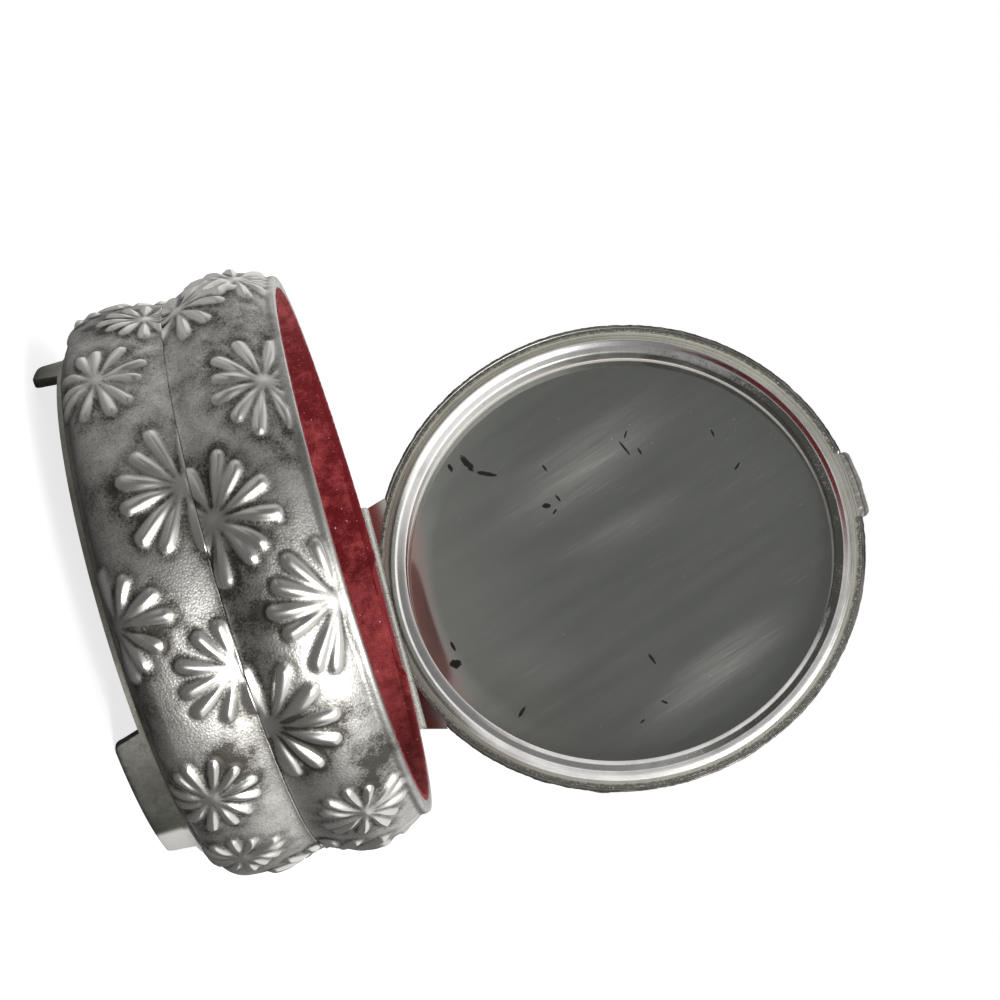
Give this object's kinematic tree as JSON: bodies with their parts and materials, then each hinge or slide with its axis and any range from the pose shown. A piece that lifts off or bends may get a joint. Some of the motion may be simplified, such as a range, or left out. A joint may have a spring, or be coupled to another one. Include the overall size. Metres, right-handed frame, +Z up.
{
  "type": "kumkum box",
  "caption": "Round embossed metal box on curved plate feet, velvet lined, with a knuckle-hinged lid that holds a round mirror and has a thumb tab.",
  "frame": {"origin": "centre of the bounding box's bottom face, on the surface that the feet stand on, on the drum's axis", "axes": "+Z up along the drum's axis, -Y to the front where the thumb tab closes, +Y to the hinge, +X along the hinge"},
  "size_m": [0.0798, 0.0798, 0.1049],
  "materials": {
    "embossed_silver": "silver-plated sheet, embossed and antiqued",
    "plain_silver": "silver-plated sheet, satin",
    "polished_silver": "silver-plated sheet, polished",
    "pin_wire": "drawn wire",
    "cup_insert": "moulded insert",
    "velvet": "crimson velvet",
    "card": "stiff card",
    "mirror": "silvered glass, aged"
  },
  "bodies": {
    "drum": {"lower_band": "embossed_silver", "upper_band": "embossed_silver", "base_plate": "plain_silver", "foot_front_left": "plain_silver", "foot_front_right": "plain_silver", "foot_back": "plain_silver", "inner_cup": "cup_insert", "wall_lining": "velvet", "floor_card": "card", "floor_velvet": "velvet", "body_hinge_leaf": "polished_silver", "hinge_pin": "pin_wire"},
    "lid": {"lid_hinge_leaf": "polished_silver", "lid_cover": "embossed_silver", "lid_bezel": "polished_silver", "mirror_glass": "mirror", "mirror_backing": "card", "thumb_tab": "polished_silver"}
  },
  "joints": [
    {"name": "lid_hinge", "type": "hinge", "parent": "drum", "child": "lid", "pos_m": [0, 0.0345, 0.0333], "axis": [1, 0, 0], "range_deg": [0, 90]}
  ]
}
